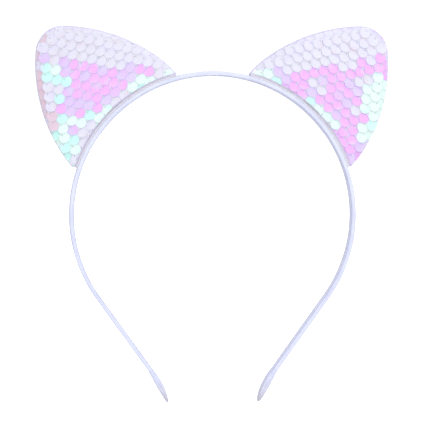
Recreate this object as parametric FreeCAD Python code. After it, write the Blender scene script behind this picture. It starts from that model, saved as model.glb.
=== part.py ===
import FreeCAD, Part
import math
import os
from FreeCAD import Placement, Rotation, Vector

# Costume headband with two padded ears covered in flip sequins.
# Frame: +Z up, front faces -Y, origin at the centre of the hoop's round part, half-way
# through the band's width.
# All lengths in millimetres, all angles in degrees.

# Outer face of the band seen from the front, from the crown's middle down one side
HOOP_RADIUS, HOOP_TURN = 66.8, 125.7
STRAIGHT_LENGTH = 39.3
FLARE_RADIUS, FLARE_TURN = 76.8, 16.5
TIP_Z = -87.5

# Band section: springy core in a satin tube, with a lining ribbon on the inner face
BAND_WIDTH = 8.4
BAND_THICKNESS = 2.0
SATIN = 0.2
SATIN_CORNER = 0.3
FILM = 0.05
LINING_WIDTH = 6.6
LINING = 0.2
LINING_MARGIN = 0.9
LINING_END_Z = -84.0

# Side view of the arm tips and the little caps over them
TAPER_START_Z = -58.0
TIP_WIDTH = 7.4
CAP = 0.35
CAP_TOP_Z = -75.0

# Flex point of each arm, where the band is widest
FLEX_GAP = 0.05
LIP_RISE = 0.6
LINING_DROP = 0.3

# Ear: outline from the tip down to the base chord, and where it sits on the band
EAR_SEAT = Vector(40.8, 0.4, 43.8)
EAR_LEAN = 42.4
EAR_HEIGHT = 54.9
EAR_TIP_RADIUS, EAR_TIP_TURN = 12.9, 43.6
EAR_UPPER_RADIUS, EAR_UPPER_TURN = 77.9, 33.7
EAR_LOWER_RADIUS, EAR_LOWER_TURN = 49.1, 14.1
EAR_SKIRT = 16.0

# Ear layers: depth from the middle plane at the base, at the belly and at the tip
BELLY_SHARE = 0.45
FRONT_BASE, FRONT_BELLY, FRONT_TIP = 2.0, 3.5, 1.8
BACK_BASE, BACK_BELLY, BACK_TIP = 2.0, 3.1, 1.6
CLOTH = 0.45
PIPING = 0.6
TAPE_WIDTH, TAPE = 6.4, 0.4
GLUE_WIDTH, GLUE = 5.0, 0.2
GLUE_INSET = 2.1

# Sequins, hung on thread loops along straight rows across the ear
SEQUIN_RADIUS = 2.5
SEQUIN_THICKNESS = 0.16
SEQUIN_DROP = 2.2
HOLE_RADIUS = 0.35
HOLE_DROP = 0.55
SEQUIN_TILT = 9.0
SEQUIN_PITCH = 5.2
ROW_SPACING = 3.68
ROW_COUNT = 14
FIRST_ROW_HEIGHT = 52.4
HINGE_RISE = 0.7
LOOP_INNER, LOOP_OUTER, LOOP_WIDTH = 0.45, 0.65, 0.3
THREAD_RADIUS = 0.08
SEQUIN_INSET = 0.4
LOOP_INSET = 1.0
SEQUIN_BAND_GAP = 1.1
LOOP_BAND_GAP = 2.2

Y_AXIS = Vector(0, 1, 0)
REACH = 120.0
TOUCH = 0.001


def heading_vectors(heading):
    """Run direction and outward normal of the band where it has turned by this heading."""
    angle = math.radians(heading)
    run = Vector(math.cos(angle), 0, -math.sin(angle))
    outward = Vector(math.sin(angle), 0, math.cos(angle))
    return run, outward


def band_stretches():
    """Start point, heading, signed radius and turn (or length) of each stretch of the right side."""
    plan = (
        (HOOP_RADIUS, HOOP_TURN),
        (0.0, STRAIGHT_LENGTH),
        (-FLARE_RADIUS, -FLARE_TURN),
    )
    point = Vector(0, 0, HOOP_RADIUS)
    heading = 0.0
    stretches = []
    for radius, reach in plan:
        stretches.append((point, heading, radius, reach))
        run, outward = heading_vectors(heading)
        if radius:
            heading += reach
            point = point - outward * radius + heading_vectors(heading)[1] * radius
        else:
            point = point + run * reach
    return stretches


def section_face(point, heading, shallow, deep, width, corner):
    """Rectangle with rounded corners across the band, between two depths under the outer face."""
    outward = heading_vectors(heading)[1]
    centre = point - outward * (shallow + deep) / 2
    out = outward * ((deep - shallow) / 2)
    side = Y_AXIS * (width / 2)
    if corner == 0:
        corners = [centre + out + side, centre - out + side, centre - out - side, centre + out - side]
        return Part.Face(Part.makePolygon(corners + corners[:1]))
    edges = []
    unit_out = outward * corner
    unit_side = Y_AXIS * corner
    signs = ((1, 1), (-1, 1), (-1, -1), (1, -1))
    starts, ends = [], []
    for index, (a, b) in enumerate(signs):
        bend = centre + out * a + side * b - unit_out * a - unit_side * b
        before = bend + (unit_out * a if index % 2 == 0 else unit_side * b)
        after = bend + (unit_side * b if index % 2 == 0 else unit_out * a)
        middle = bend + (unit_out * a + unit_side * b) * math.sqrt(0.5)
        edges.append(Part.Arc(before, middle, after).toShape())
        starts.append(before)
        ends.append(after)
    for index in range(4):
        edges.append(Part.makeLine(ends[index], starts[(index + 1) % 4]))
    return Part.Face(Part.Wire(Part.__sortEdges__(edges)))


def mirrored(shape):
    return shape.mirror(Vector(0, 0, 0), Vector(1, 0, 0))


def band_bar(shallow, deep, width, corner, tip_growth):
    """The full band, tip to tip, between two depths; the tips are shaped by the side view."""
    pieces = []
    for point, heading, radius, reach in band_stretches():
        section = section_face(point, heading, shallow, deep, width, corner)
        run, outward = heading_vectors(heading)
        if radius:
            axis = Vector(0, math.copysign(1, radius), 0)
            pieces.append(section.revolve(point - outward * radius, axis, abs(reach)))
        else:
            pieces.append(section.extrude(run * reach))
    pieces += [mirrored(piece) for piece in pieces]
    bar = pieces[0].multiFuse(pieces[1:]).removeSplitter()
    return bar.common(side_view_block(tip_growth))


def side_view_block(growth):
    """Everything inside the band's side view: parallel edges, tapered tips, round ends."""
    half = BAND_WIDTH / 2 + growth
    tip = TIP_WIDTH / 2 + growth
    end = TIP_Z - growth
    top = REACH
    low = end + tip
    edges = [
        Part.makeLine(Vector(0, -half, top), Vector(0, half, top)),
        Part.makeLine(Vector(0, half, top), Vector(0, half, TAPER_START_Z)),
        Part.makeLine(Vector(0, half, TAPER_START_Z), Vector(0, tip, low)),
        Part.Arc(Vector(0, tip, low), Vector(0, 0, end), Vector(0, -tip, low)).toShape(),
        Part.makeLine(Vector(0, -tip, low), Vector(0, -half, TAPER_START_Z)),
        Part.makeLine(Vector(0, -half, TAPER_START_Z), Vector(0, -half, top)),
    ]
    face = Part.Face(Part.Wire(edges))
    face.translate(Vector(-REACH, 0, 0))
    return face.extrude(Vector(2 * REACH, 0, 0))


def slab(low_z, high_z, left_x=-REACH, right_x=REACH):
    corner = Vector(left_x, -REACH / 2, low_z)
    return Part.makeBox(right_x - left_x, REACH, high_z - low_z, corner)


def pin(centre, radius):
    """Long cylinder along Y round a flex point."""
    return Part.makeCylinder(radius, REACH, centre - Y_AXIS * (REACH / 2), Y_AXIS)


def flex_point():
    """Middle of the band's section where the hoop is widest."""
    return Vector(HOOP_RADIUS - BAND_THICKNESS / 2, 0, 0)


def crown_zone():
    """Keeps the crown: everything above the flex points, hollowed round both of them."""
    pivot = flex_point()
    seat = pin(pivot, BAND_THICKNESS / 2 + FLEX_GAP)
    return slab(pivot.z + LIP_RISE, REACH).cut(seat.fuse(mirrored(seat)))


def arm_zone():
    """Keeps the right arm: everything below the flex point plus the round end on it."""
    pivot = flex_point()
    return slab(-REACH, pivot.z, 0).fuse(pin(pivot, BAND_THICKNESS / 2))


def export(shape, name):
    shape.exportStep("parts/" + name + ".step")


def export_three(bar, name, crown_keep, arm_keep):
    """Crown piece and both arm pieces of one band layer."""
    arm = bar.common(arm_keep)
    export(bar.common(crown_keep), "crown_" + name)
    export(arm, "right_arm_" + name)
    export(mirrored(arm), "left_arm_" + name)


def export_band():
    wall = SATIN + FILM
    hidden = BAND_THICKNESS - wall
    core = band_bar(wall, hidden, BAND_WIDTH - 2 * wall, 0.0, -wall)
    pocket = band_bar(SATIN, BAND_THICKNESS - SATIN, BAND_WIDTH - 2 * SATIN, 0.0, -SATIN)
    satin = band_bar(0.0, BAND_THICKNESS, BAND_WIDTH, SATIN_CORNER, 0.0).cut(pocket)
    under = BAND_THICKNESS + FILM
    lining = band_bar(under, under + LINING, LINING_WIDTH, 0.0, -LINING_MARGIN)
    export_three(core, "core", crown_zone(), arm_zone())
    export_three(satin, "satin_wrap", crown_zone(), arm_zone())
    pivot = flex_point()
    lining_arm = slab(LINING_END_Z, pivot.z - LINING_DROP, 0)
    export_three(lining, "lining", slab(pivot.z + LIP_RISE, REACH), lining_arm)


def export_tip_caps():
    under = BAND_THICKNESS + FILM + LINING + FILM
    inside = band_bar(-FILM, under, BAND_WIDTH + 2 * FILM, 0.0, FILM)
    grown = FILM + CAP
    outside = band_bar(-grown, under + CAP, BAND_WIDTH + 2 * grown, SATIN_CORNER, grown)
    cap = outside.cut(inside).common(slab(-REACH, CAP_TOP_Z, 0))
    export(cap, "right_tip_cap")
    export(mirrored(cap), "left_tip_cap")


def head_zone(clearance):
    """Everything enclosed by the band's outer face grown by the clearance, seen from the front."""
    edges = []
    for point, heading, radius, reach in band_stretches():
        run, outward = heading_vectors(heading)
        start = point + outward * clearance
        if radius:
            centre = point - outward * radius
            middle_out = heading_vectors(heading + reach / 2)[1]
            end_out = heading_vectors(heading + reach)[1]
            middle = centre + middle_out * (radius + clearance)
            end = centre + end_out * (radius + clearance)
            edges.append(Part.Arc(start, middle, end).toShape())
        else:
            end = start + run * reach
            edges.append(Part.makeLine(start, end))
    edges += [mirrored(edge) for edge in edges]
    edges.append(Part.makeLine(end, Vector(-end.x, 0, end.z)))
    face = Part.Face(Part.Wire(Part.__sortEdges__(edges)))
    face.translate(Y_AXIS * (-REACH / 2))
    return face.extrude(Y_AXIS * REACH)


def ear_placement():
    return Placement(EAR_SEAT, Rotation(Y_AXIS, EAR_LEAN))


def ear_outline(inset):
    """Ear seen from the front in its own frame: X along the base chord, Z to the tip."""
    plan = (
        (EAR_TIP_RADIUS, EAR_TIP_TURN),
        (EAR_UPPER_RADIUS, EAR_UPPER_TURN),
        (EAR_LOWER_RADIUS, EAR_LOWER_TURN),
    )
    centre = Vector(0, 0, EAR_HEIGHT - EAR_TIP_RADIUS)
    heading = 0.0
    previous = EAR_TIP_RADIUS
    edges = []
    for radius, turn in plan:
        centre = centre - heading_vectors(heading)[1] * (radius - previous)
        points = [
            centre + heading_vectors(heading + turn * part)[1] * (radius - inset)
            for part in (0.0, 0.5, 1.0)
        ]
        edges.append(Part.Arc(*points).toShape())
        heading += turn
        previous = radius
    end = points[-1]
    skirt = Vector(end.x, 0, -EAR_SKIRT)
    edges.append(Part.makeLine(end, skirt))
    edges += [mirrored(edge) for edge in edges]
    edges.append(Part.makeLine(skirt, Vector(-skirt.x, 0, -EAR_SKIRT)))
    return Part.Face(Part.Wire(Part.__sortEdges__(edges)))


def ear_block(inset, band_gap):
    """The ear's outline as a deep block, inset all round and cut clear of the band."""
    face = ear_outline(inset)
    face.translate(Y_AXIS * (-REACH / 2))
    block = face.extrude(Y_AXIS * REACH)
    zone = head_zone(band_gap).transformed(ear_placement().inverse().toMatrix())
    return block.cut(zone)


def dome_circle(base, belly, tip):
    """Centre and radius of the arc through the three depths of a padded face, tip to base."""
    belly_height = EAR_HEIGHT * BELLY_SHARE
    points = [Vector(0, -base, 0), Vector(0, -belly, belly_height), Vector(0, -tip, EAR_HEIGHT)]
    circle = Part.Arc(*points).toShape().Curve
    return circle.Center, circle.Radius


def padded_layer(base, belly, tip, inner, outer):
    """Curved sheet between two heights over a padded face; the face bulges toward -Y."""
    centre, radius = dome_circle(base, belly, tip)
    start = centre - Vector(REACH / 2, 0, 0)
    along = Vector(1, 0, 0)
    full = Part.makeCylinder(radius + outer, REACH, start, along)
    if inner is None:
        return full
    return full.cut(Part.makeCylinder(radius + inner, REACH, start, along))


def facing_back(shape):
    return shape.mirror(Vector(0, 0, 0), Y_AXIS)


def half_depth(front):
    """One side of the middle plane."""
    corner = Vector(-REACH / 2, -REACH / 4 if front else 0, -REACH / 2)
    return Part.makeBox(REACH, REACH / 4, REACH, corner)


def front_face(inner, outer):
    layer = padded_layer(FRONT_BASE, FRONT_BELLY, FRONT_TIP, inner, outer)
    return layer.common(half_depth(True))


def back_face(inner, outer):
    layer = padded_layer(BACK_BASE, BACK_BELLY, BACK_TIP, inner, outer)
    return facing_back(layer).common(half_depth(False))


def export_pair(shape, name):
    """Right ear piece at its place on the band, and its mirror image for the left."""
    placed = shape.transformed(ear_placement().toMatrix())
    export(placed, "right_" + name)
    export(mirrored(placed), "left_" + name)


def base_gap():
    """Height of the foam above the band: glue, tape and the films between them."""
    return FILM + GLUE + FILM + TAPE + FILM


def export_ear_body():
    inside = ear_block(PIPING + FILM, base_gap())
    foam = front_face(None, 0.0).fuse(back_face(None, 0.0)).removeSplitter()
    export_pair(foam.common(inside), "foam_pad")
    export_pair(front_face(FILM, FILM + CLOTH).common(inside), "front_cloth")
    export_pair(back_face(FILM, FILM + CLOTH).common(inside), "back_cloth")
    rim = ear_block(0.0, base_gap()).cut(ear_block(PIPING, 0.0))
    depth = front_face(None, FILM + CLOTH).fuse(back_face(None, FILM + CLOTH)).removeSplitter()
    export_pair(rim.common(depth), "edge_piping")


def export_ear_base():
    """Woven tape under the ear and the bead of glue that holds it on the band."""
    place_back = ear_placement().inverse().toMatrix()
    footprint = ear_block(PIPING, 0.0)
    tape_low = FILM + GLUE + FILM
    tape = band_bar(-tape_low - TAPE, -tape_low, TAPE_WIDTH, 0.0, 0.0)
    glue = band_bar(-FILM - GLUE, -FILM, GLUE_WIDTH, 0.0, 0.0)
    export_pair(tape.transformed(place_back).common(footprint), "base_tape")
    narrow = ear_block(GLUE_INSET, 0.0)
    export_pair(glue.transformed(place_back).common(narrow), "glue_bead")


def hinge_radius():
    centre, radius = dome_circle(FRONT_BASE, FRONT_BELLY, FRONT_TIP)
    return centre, radius + FILM + CLOTH + HINGE_RISE


def row_hinge(row):
    """Height angle and hinge point of a sequin row on the padded front, row 0 nearest the tip."""
    centre, radius = hinge_radius()
    first = math.asin((FIRST_ROW_HEIGHT - centre.z) / radius)
    angle = first - row * ROW_SPACING / radius
    point = Vector(0, centre.y - radius * math.cos(angle), centre.z + radius * math.sin(angle))
    return math.degrees(angle), point


def row_seats(row, point, seat_face):
    """Places along the row whose thread loop falls inside the ear."""
    shift = SEQUIN_PITCH / 2 if row % 2 else 0.0
    count = int(EAR_HEIGHT / SEQUIN_PITCH) + 1
    places = [shift + index * SEQUIN_PITCH for index in range(-count, count)]
    return [x for x in places if seat_face.isInside(Vector(x, 0, point.z), TOUCH, True)]


def sequin(x):
    """One disc with its hole, hanging toward -Y from a hinge line along X."""
    low = -SEQUIN_THICKNESS / 2
    disc = Part.makeCylinder(SEQUIN_RADIUS, SEQUIN_THICKNESS, Vector(x, -SEQUIN_DROP, low))
    hole = Part.makeCylinder(HOLE_RADIUS, 2 * SEQUIN_THICKNESS, Vector(x, -HOLE_DROP, 2 * low))
    return disc.cut(hole)


def thread_row(places):
    """Thread loops round the hinge line, joined by the thread running under them."""
    along = Vector(1, 0, 0)
    loops = []
    for x in places:
        start = Vector(x - LOOP_WIDTH / 2, 0, 0)
        ring = Part.makeCylinder(LOOP_OUTER, LOOP_WIDTH, start, along)
        loops.append(ring.cut(Part.makeCylinder(LOOP_INNER, LOOP_WIDTH, start, along)))
    start = Vector(min(places) - LOOP_WIDTH, 0, -HOLE_DROP)
    length = max(places) - min(places) + 2 * LOOP_WIDTH
    run = Part.makeCylinder(THREAD_RADIUS, length, start, along)
    return run.multiFuse(loops)


def on_hinge(shape, angle, point, tilt):
    """Moves a shape made round the X axis onto a hinge of the padded front."""
    turn = Rotation(Vector(1, 0, 0), 90 - angle - tilt)
    return shape.transformed(Placement(point, turn).toMatrix())


def export_sequins():
    """Every row of discs, and one node with all the thread of an ear."""
    clip = ear_block(SEQUIN_INSET, SEQUIN_BAND_GAP)
    seat_block = ear_block(LOOP_INSET, LOOP_BAND_GAP)
    middle = Part.makePlane(REACH, REACH, Vector(-REACH / 2, 0, REACH / 2), Y_AXIS * -1)
    seat_face = seat_block.common(middle).Faces[0]
    threads = []
    for row in range(ROW_COUNT):
        angle, point = row_hinge(row)
        places = row_seats(row, point, seat_face)
        discs = Part.makeCompound([sequin(x) for x in places])
        hung = on_hinge(discs, angle, point, SEQUIN_TILT).common(clip)
        export_pair(hung, f"sequin_row_{row + 1:02d}")
        for half in (True, False):
            side = [x for x in places if (x < 0) == half]
            if side:
                threads.append(on_hinge(thread_row(side), angle, point, 0.0))
    export_pair(Part.makeCompound(threads), "sequin_threads")


os.makedirs("parts", exist_ok=True)
export_band()
export_tip_caps()
export_ear_body()
export_ear_base()
export_sequins()
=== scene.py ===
import math
import random

import bmesh
import bpy
import numpy as np
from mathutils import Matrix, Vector, noise
from mathutils.bvhtree import BVHTree


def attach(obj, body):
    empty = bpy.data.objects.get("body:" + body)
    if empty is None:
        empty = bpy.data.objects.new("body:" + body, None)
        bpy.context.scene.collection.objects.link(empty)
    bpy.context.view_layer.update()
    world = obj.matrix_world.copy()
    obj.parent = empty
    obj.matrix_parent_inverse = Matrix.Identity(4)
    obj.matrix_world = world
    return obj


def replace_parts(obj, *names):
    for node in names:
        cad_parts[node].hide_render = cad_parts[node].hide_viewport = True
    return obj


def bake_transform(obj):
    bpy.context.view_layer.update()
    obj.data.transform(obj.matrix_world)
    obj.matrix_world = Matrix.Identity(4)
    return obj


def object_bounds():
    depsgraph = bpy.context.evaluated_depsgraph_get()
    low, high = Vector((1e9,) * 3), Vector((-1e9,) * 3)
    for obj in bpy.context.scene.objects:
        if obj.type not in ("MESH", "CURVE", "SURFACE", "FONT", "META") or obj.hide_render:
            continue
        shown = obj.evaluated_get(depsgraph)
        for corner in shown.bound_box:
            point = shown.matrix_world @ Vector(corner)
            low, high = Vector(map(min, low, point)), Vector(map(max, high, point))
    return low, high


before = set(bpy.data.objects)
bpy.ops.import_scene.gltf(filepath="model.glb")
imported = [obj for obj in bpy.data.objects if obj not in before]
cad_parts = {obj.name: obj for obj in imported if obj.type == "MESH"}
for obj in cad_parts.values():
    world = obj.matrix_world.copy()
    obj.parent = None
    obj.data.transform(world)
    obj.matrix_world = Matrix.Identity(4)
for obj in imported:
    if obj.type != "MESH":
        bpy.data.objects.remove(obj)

CAD_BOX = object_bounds()
MM = 0.001
SIDES = {"left": -1, "right": 1}

# Sizes are in millimetres and turns in degrees, except where math.radians or a comment says otherwise.

# Band, outer face seen from the front: (radius, turn) or (0, length)
HOOP_RADIUS = 66.8
BAND_PLAN = ((HOOP_RADIUS, 125.7), (0.0, 39.3), (-76.8, -16.5))
BAND_WIDTH = 8.4
BAND_THICKNESS = 2.0
BAND_CORNER = 0.62
SATIN_WALL = 0.25  # also how much thinner the core is on every side
SATIN_WAVE = 0.035
CORE_CORNER = 0.2
TAPER_START_Z = -58.0
TIP_WIDTH = 7.4
TIP_Z = -87.5
CAP_TOP_Z = -73.0
CAP_CROWN = 0.06
CAP_CREASE = 0.05
LINING_WIDTH = 6.6
LINING_MARGIN = 0.9
LINING_LOW, LINING_HIGH = 0.03, 0.25
LINING_CORNER = 0.09
LINING_END_Z = -84.0
FOLD_GROWTH = 0.4

# Ear, in its own frame: u along the base chord towards the arm, v towards the tip
EAR_SEAT = (40.8, 0.4, 43.8)
EAR_LEAN = math.radians(42.4)
EAR_HEIGHT = 54.9
EAR_PLAN = ((12.9, 43.6), (77.9, 33.7), (49.1, 14.1))
EAR_SKIRT = 16.0  # the outline runs straight on this far below its last arc
BASE_CORNER = 31.9
WIDEST_HALF = 32.3
BASE_GAP = 0.75
BELLY_SHARE = 0.45
FRONT_DEPTHS = (2.0, 3.5, 1.8)
BACK_DEPTHS = (2.0, 3.1, 1.6)
ROLL_REACH = 6.0
ROLL_DEPTH = 1.5
CLOTH = 0.5
SHEET_INSET = 0.5
SHEET_THICKNESS = 0.4
EAR_COLUMNS = 49
EAR_ROWS = 61

# Foam pad; SWELL is how far cloth pressure may move its front (-1) and back (1) face, in and out
PAD_SCALE = 20.0
PAD_VOXEL = 1.4
PAD_INSET = 0.9
PAD_PRESSURE = 4.0
PAD_GROWTH = 0.04
PAD_FRAMES = 20
SWELL = {-1: (-0.35, 0.04), 1: (-0.3, 0.8)}

# Seam, piping and base
PUCKER_DEPTH = 0.15
PUCKER_FADE = 3.2
PUCKER_CENTRE_V = 18.0
PIPING_STEP = 0.5
PIPING_POINTS = 17
PIPING_RISE = 0.15
PIPING_SINK = 0.9
PIPING_WAVE = 0.04
PIPING_THICKNESS = 0.25
PIPING_ACROSS = 0.35
BASE_HALF_LENGTH = 31.6
BASE_LEVEL = -1.0
# A section is the strip's low side and high side over the band, and its half width
TAPE_SECTION = (0.3, 0.72, 3.6)
GLUE_SECTION = (0.02, 0.28, 3.7)
STRIP_CORNER = 0.12

# Sequins
SEQUIN_RADIUS = 2.6
SEQUIN_DROP = 2.2
SEQUIN_THICKNESS = 0.1
SEQUIN_CUP = 0.07
SEQUIN_BEVEL = 0.6
SEQUIN_STEP = 0.07
SEQUIN_PITCH = 5.2
SEQUIN_TILT = math.radians(9.0)
SEQUIN_SPREAD = (3.0, 0.8, 1.0)  # swing, lift and twist
ROW_SPACING = 3.68
ROW_REACH = 8
FIRST_ROW_HEIGHT = 52.4
HINGE_RISE = 0.7
HOLE_RADIUS = 0.34
HOLE_DROP = 0.55
RIM_POINTS = 32
DISC_SHARES = (0.0, 0.12, 0.55, 0.9, 0.975, 1.0)
SEEDS = {"left": 11, "right": 23}

# Where discs hang, show and are trimmed
LOOP_INSET = 1.0
LOOP_BAND_GAP = 2.2
SHOW_PAST_TIP = 0.8
SHOW_PAST_SIDE = 1.2
SHOW_BELOW_TIP = 0.4
SHOW_UNDER_BAND = 0.6
EDGE_INSET = 0.35
BAND_CLEARANCE = 1.5
SLIVER = 0.004
FOLLOW = 0.4

# Discs that the seam has caught
CAUGHT_RISE = 0.3
CAUGHT_TILT = math.radians(3.0)
CAUGHT_STEP = 0.4
CAUGHT_FOLLOW = 0.8

# Thread
LOOP_LENGTH = 0.62
LOOP_RISE = 0.52
LOOP_LEAN = 0.05
LOOP_RADIUS = 0.11
LOOP_TURNS = 20
RUN_DROP = 0.55
RUN_RADIUS = 0.08
RUN_STEP = 0.4
RUN_PAST = 0.45
THREAD_SIDES = 7
ACROSS_THREAD = (0.31, 0.27, 0.91)

# Film colours in the order the iridescence runs through
ROSY, PEARL, LILAC, PINK, MINT, ICE = 0.05, 0.22, 0.42, 0.56, 0.78, 0.94
FILM_PATCH = 0.11
FILM_SPREAD = 0.015
FILM_SLOPES = (0.010, 0.012)

# Zones of the film colours on the ears, by place: the near-white tops are a painted reflection of the
# overhead light and the left ear's rosy outer edge is painted shade
SHADED_EDGE_WIDTH, SHADED_EDGE_ABOVE = 4.0, 38.0
LEFT_REFLECTION_ABOVE, LEFT_REFLECTION_SLOPE, LEFT_REFLECTION_X = 70.5, 0.16, 50.0
LEFT_MINT_BELOW = 47.0
RIGHT_PATCH_X, RIGHT_PATCH_Z = (56.0, 82.0), (62.0, 75.0)
RIGHT_REFLECTION_ABOVE = 68.5
RIGHT_BAND_Z, RIGHT_BAND_X = (41.0, 54.0), 31.0
NEAR_BAND = 6.0
OUTER_X = 69.0
OUTER_LOW_X, OUTER_LOW_Z = -64.0, 37.0

# Mixes of film colours: each colour takes the draws up to its upper limit
# painted shade: the left ear's outer edge, turned away from the light, is mostly rosy
SHADED_EDGE_MIX = ((0.22, PEARL), (0.85, ROSY), (1.0, PEARL))
# painted reflection: the near-white top of each ear
TOP_REFLECTION_MIX = ((0.9, PEARL), (1.0, PEARL + 0.06))
PATCH_MIX = ((0.46, PEARL), (0.72, PINK), (0.8, ICE), (1.0, PEARL))
BAND_MIX = ((0.3, PEARL), (0.42, MINT), (0.6, ICE), (0.7, PEARL), (0.84, LILAC), (1.0, PINK))
MINT_MIX = ((0.22, PEARL), (0.6, MINT), (0.84, ICE), (0.93, LILAC), (1.0, PINK))
LEFT_OUTER_MIX = ((0.32, PEARL), (0.5, MINT), (0.6, ICE), (0.72, PEARL), (0.86, LILAC), (1.0, PINK))
RIGHT_OUTER_MIX = ((0.48, ICE), (0.54, PEARL), (0.74, ICE), (0.84, MINT + 0.08), (0.92, PEARL), (1.0, PINK))
PINK_MIX = ((0.24, PEARL), (0.38, LILAC), (0.74, PINK), (0.84, LILAC + 0.06), (0.92, MINT), (1.0, PINK))

# Stage, with distances and lamp sizes in metres; a lamp is azimuth, elevation, distance, size, power
CAMERA_AZIMUTH = math.radians(-5.5)
CAMERA_HEIGHT = math.radians(3.0)
CAMERA_DISTANCE = 1.2
SENSOR_WIDTH = 36.0
FIELD_MM = 200.0
FOCUS = (1.05, 0.0, 0.0)  # in millimetres, like the floor
FLOOR_GAP = 0.4
FLOOR_HALF = 6000.0
FLOOR_GLOW = 1.1
WORLD_LIGHT, WORLD_SEEN = 0.80, 1.1
LIGHTS = {"key": (16, 30, 1.6, 1.2, 8.5), "fill": (-14, 5, 1.8, 1.4, 6.0), "back": (165, 25, 1.8, 1.4, 5.0)}


def srgb(red, green, blue):
    """Linear colour from 0-255 screen values."""
    def linear(value):
        value /= 255
        return value / 12.92 if value <= 0.04045 else ((value + 0.055) / 1.055) ** 2.4
    return (linear(red), linear(green), linear(blue), 1.0)


# ---- band and ear geometry

def band_stations(step):
    """Outer-face points down the right side: rows of x, z, heading and run length, in mm."""
    rows = [(0.0, HOOP_RADIUS, 0.0, 0.0)]
    for radius, reach in BAND_PLAN:
        x, z, heading, run = rows[-1]
        length = abs(radius * math.radians(reach)) if radius else reach
        count = max(2, int(math.ceil(length / step)))
        for index in range(1, count + 1):
            share = index / count
            if radius:
                angle = heading + math.radians(reach) * share
                centre_x = x - radius * math.sin(heading)
                centre_z = z - radius * math.cos(heading)
                point = (centre_x + radius * math.sin(angle), centre_z + radius * math.cos(angle))
            else:
                angle = heading
                gone = reach * share
                point = (x + gone * math.cos(heading), z - gone * math.sin(heading))
            rows.append((point[0], point[1], angle, run + length * share))
    return np.array(rows)


OUTER_FACE = band_stations(0.25)


def height_over_band(x, z):
    """How far a point stands outside the band's outer face, in mm (arrays allowed)."""
    x = np.abs(np.asarray(x, float))
    z = np.asarray(z, float)
    dx = x[..., None] - OUTER_FACE[:, 0]
    dz = z[..., None] - OUTER_FACE[:, 1]
    nearest = np.argmin(dx * dx + dz * dz, axis=-1)
    near_x, near_z, heading = np.moveaxis(OUTER_FACE[nearest], -1, 0)[:3]
    return (x - near_x) * np.sin(heading) + (z - near_z) * np.cos(heading)


def ear_edge_points(inset, steps=24):
    """Right half of the ear's inset outline from the tip down, as rows of half-width and height."""
    points = []
    centre = np.array([0.0, EAR_HEIGHT - EAR_PLAN[0][0]])
    heading = 0.0
    previous = EAR_PLAN[0][0]
    for radius, turn in EAR_PLAN:
        centre = centre - np.array([math.sin(heading), math.cos(heading)]) * (radius - previous)
        for share in np.linspace(0, 1, steps):
            angle = heading + math.radians(turn) * share
            points.append(centre + np.array([math.sin(angle), math.cos(angle)]) * (radius - inset))
        heading += math.radians(turn)
        previous = radius
    points.append(points[-1] - np.array([0.0, EAR_SKIRT]))
    return np.array(points)


EAR_EDGE = ear_edge_points(0.0)
EAR_LINE = ear_edge_points(0.0, steps=100)
WHOLE_EDGE = np.vstack([EAR_EDGE[::-1] * [-1, 1], EAR_EDGE[1:]])


def run_lengths(points):
    """Length along a line of points up to each of them."""
    return np.r_[0, np.cumsum(np.hypot(*np.diff(points, axis=0).T))]


def half_width(v):
    """Half the ear's width at height v."""
    return np.interp(v, EAR_EDGE[::-1, 1], EAR_EDGE[::-1, 0], right=0.0)


def ear_to_world(side, u, y, v):
    """World position in mm of a point given in an ear's own frame."""
    sin, cos = math.sin(EAR_LEAN), math.cos(EAR_LEAN)
    x = EAR_SEAT[0] + np.asarray(u) * cos + np.asarray(v) * sin
    z = EAR_SEAT[2] - np.asarray(u) * sin + np.asarray(v) * cos
    return side * x, EAR_SEAT[1] + y, z


def over_band(u, v):
    """How far a place of the ear stands outside the band's outer face."""
    x, _, z = ear_to_world(1, u, 0.0, v)
    return height_over_band(x, z)


def dome(depths):
    """Centre (y, v) and radius of the arc through a padded face's three depths; bulges to -y."""
    (ay, av), (by, bv), (cy, cv) = [
        (-depths[0], 0.0), (-depths[1], EAR_HEIGHT * BELLY_SHARE), (-depths[2], EAR_HEIGHT)]
    d = 2 * (ay * (bv - cv) + by * (cv - av) + cy * (av - bv))
    a2, b2, c2 = ay * ay + av * av, by * by + bv * bv, cy * cy + cv * cv
    y = (a2 * (bv - cv) + b2 * (cv - av) + c2 * (av - bv)) / d
    v = (a2 * (cy - by) + b2 * (ay - cy) + c2 * (by - ay)) / d
    return y, v, math.hypot(ay - y, av - v)


FRONT_DOME = dome(FRONT_DEPTHS)
BACK_DOME = dome(BACK_DEPTHS)


def dome_depth(circle, v):
    """Depth of a padded face under its belly arc at height v, as a positive number."""
    y, centre_v, radius = circle
    return np.sqrt(radius ** 2 - (np.asarray(v, float) - centre_v) ** 2) - y


def edge_distance(u, v):
    """How far inside the ear's outline a place is; 0 outside it."""
    u, v = np.broadcast_arrays(np.abs(u), np.asarray(v, float))
    aside = half_width(v) - u
    gap = np.hypot(u[..., None] - EAR_LINE[:, 0], v[..., None] - EAR_LINE[:, 1]).min(axis=-1)
    return np.clip(np.minimum(aside, gap), 0.0, None)


def roll_off(u, v):
    """How far the padded face sinks back near the ear's edge."""
    inside = np.clip(edge_distance(u, v) / ROLL_REACH, 0, 1)
    return ROLL_DEPTH * (1 - inside) ** 2


# ---- mesh helpers

def make_mesh(name, vertices, faces, material, attributes=None, smooth=True):
    """Mesh object from millimetre vertices; attributes are per-vertex floats."""
    mesh = bpy.data.meshes.new(name)
    mesh.from_pydata([tuple(v) for v in np.asarray(vertices, float) * MM], [], faces)
    mesh.validate()
    if smooth:
        mesh.polygons.foreach_set("use_smooth", [True] * len(mesh.polygons))
    for key, values in (attributes or {}).items():
        layer = mesh.attributes.new(key, "FLOAT", "POINT")
        layer.data.foreach_set("value", np.asarray(values, np.float32))
    mesh.materials.append(material)
    piece = bpy.data.objects.new(name, mesh)
    bpy.context.scene.collection.objects.link(piece)
    return piece


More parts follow.
